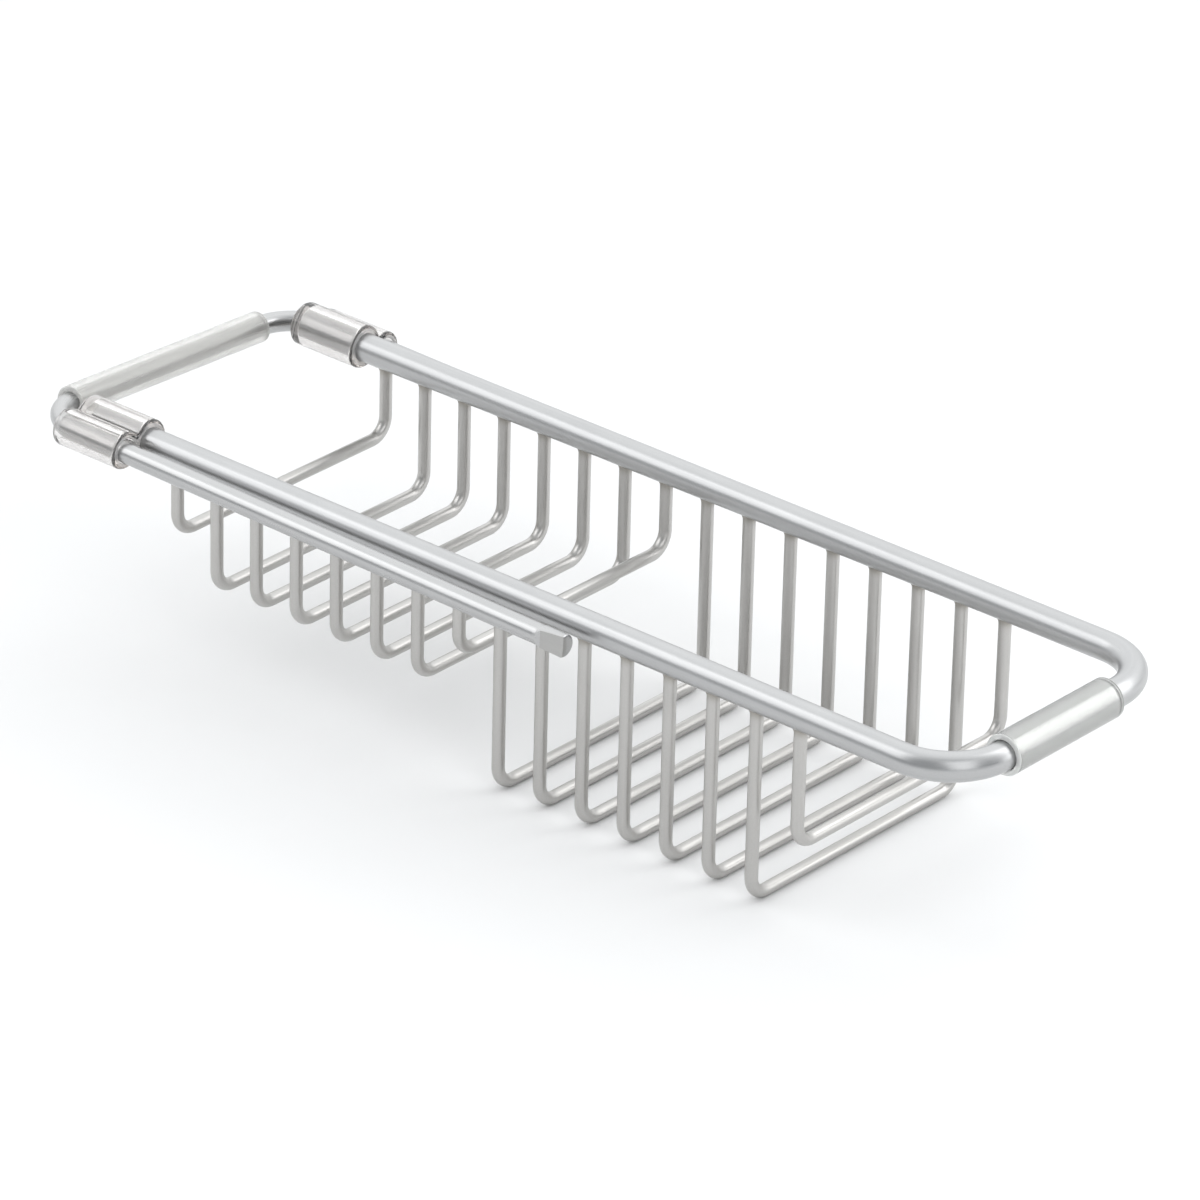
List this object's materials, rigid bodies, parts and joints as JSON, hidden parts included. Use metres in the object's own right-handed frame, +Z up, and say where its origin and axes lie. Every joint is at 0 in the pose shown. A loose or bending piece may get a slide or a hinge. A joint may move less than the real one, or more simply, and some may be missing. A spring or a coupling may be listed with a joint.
{
  "type": "sponge holder",
  "caption": "Extendable sponge holder that spans a sink: welded aluminium wire basket with a shallow and a deep tray, clear sliding connectors and soft grip sleeves.",
  "frame": {"origin": "middle of the frame, on the underside of the right grip sleeve, where it rests on the sink's rim", "axes": "+X along the rails towards the right grip sleeve, +Y from the front rail to the rear rail, +Z up"},
  "size_m": [0.3606, 0.1255, 0.0745],
  "materials": {
    "satin_tube": "satin anodised tube",
    "satin_wire": "satin anodised wire",
    "satin_rod": "satin anodised rod",
    "clear_plastic": "clear glossy moulding",
    "satin_grip": "satin translucent tube",
    "frosted_grip": "frosted translucent tube"
  },
  "bodies": {
    "basket": {"main_frame": "satin_tube", "left_end_wire": "satin_wire", "left_tray_wire_1": "satin_wire", "left_tray_wire_2": "satin_wire", "left_tray_wire_3": "satin_wire", "left_tray_wire_4": "satin_wire", "left_tray_wire_5": "satin_wire", "left_tray_wire_6": "satin_wire", "divider_wire": "satin_wire", "right_tray_wire_1": "satin_wire", "right_tray_wire_2": "satin_wire", "right_tray_wire_3": "satin_wire", "right_tray_wire_4": "satin_wire", "right_tray_wire_5": "satin_wire", "right_tray_wire_6": "satin_wire", "right_tray_wire_7": "satin_wire", "right_end_wire": "satin_wire", "right_grip_sleeve": "satin_grip", "front_connector": "clear_plastic", "rear_connector": "clear_plastic"},
    "extension": {"extension_frame": "satin_rod", "left_grip_sleeve": "frosted_grip"}
  },
  "joints": [
    {"name": "extension_slide", "type": "slide", "parent": "basket", "child": "extension", "axis": [-0.9999, 0, 0.0133], "range_m": [0, 0.1642]}
  ]
}
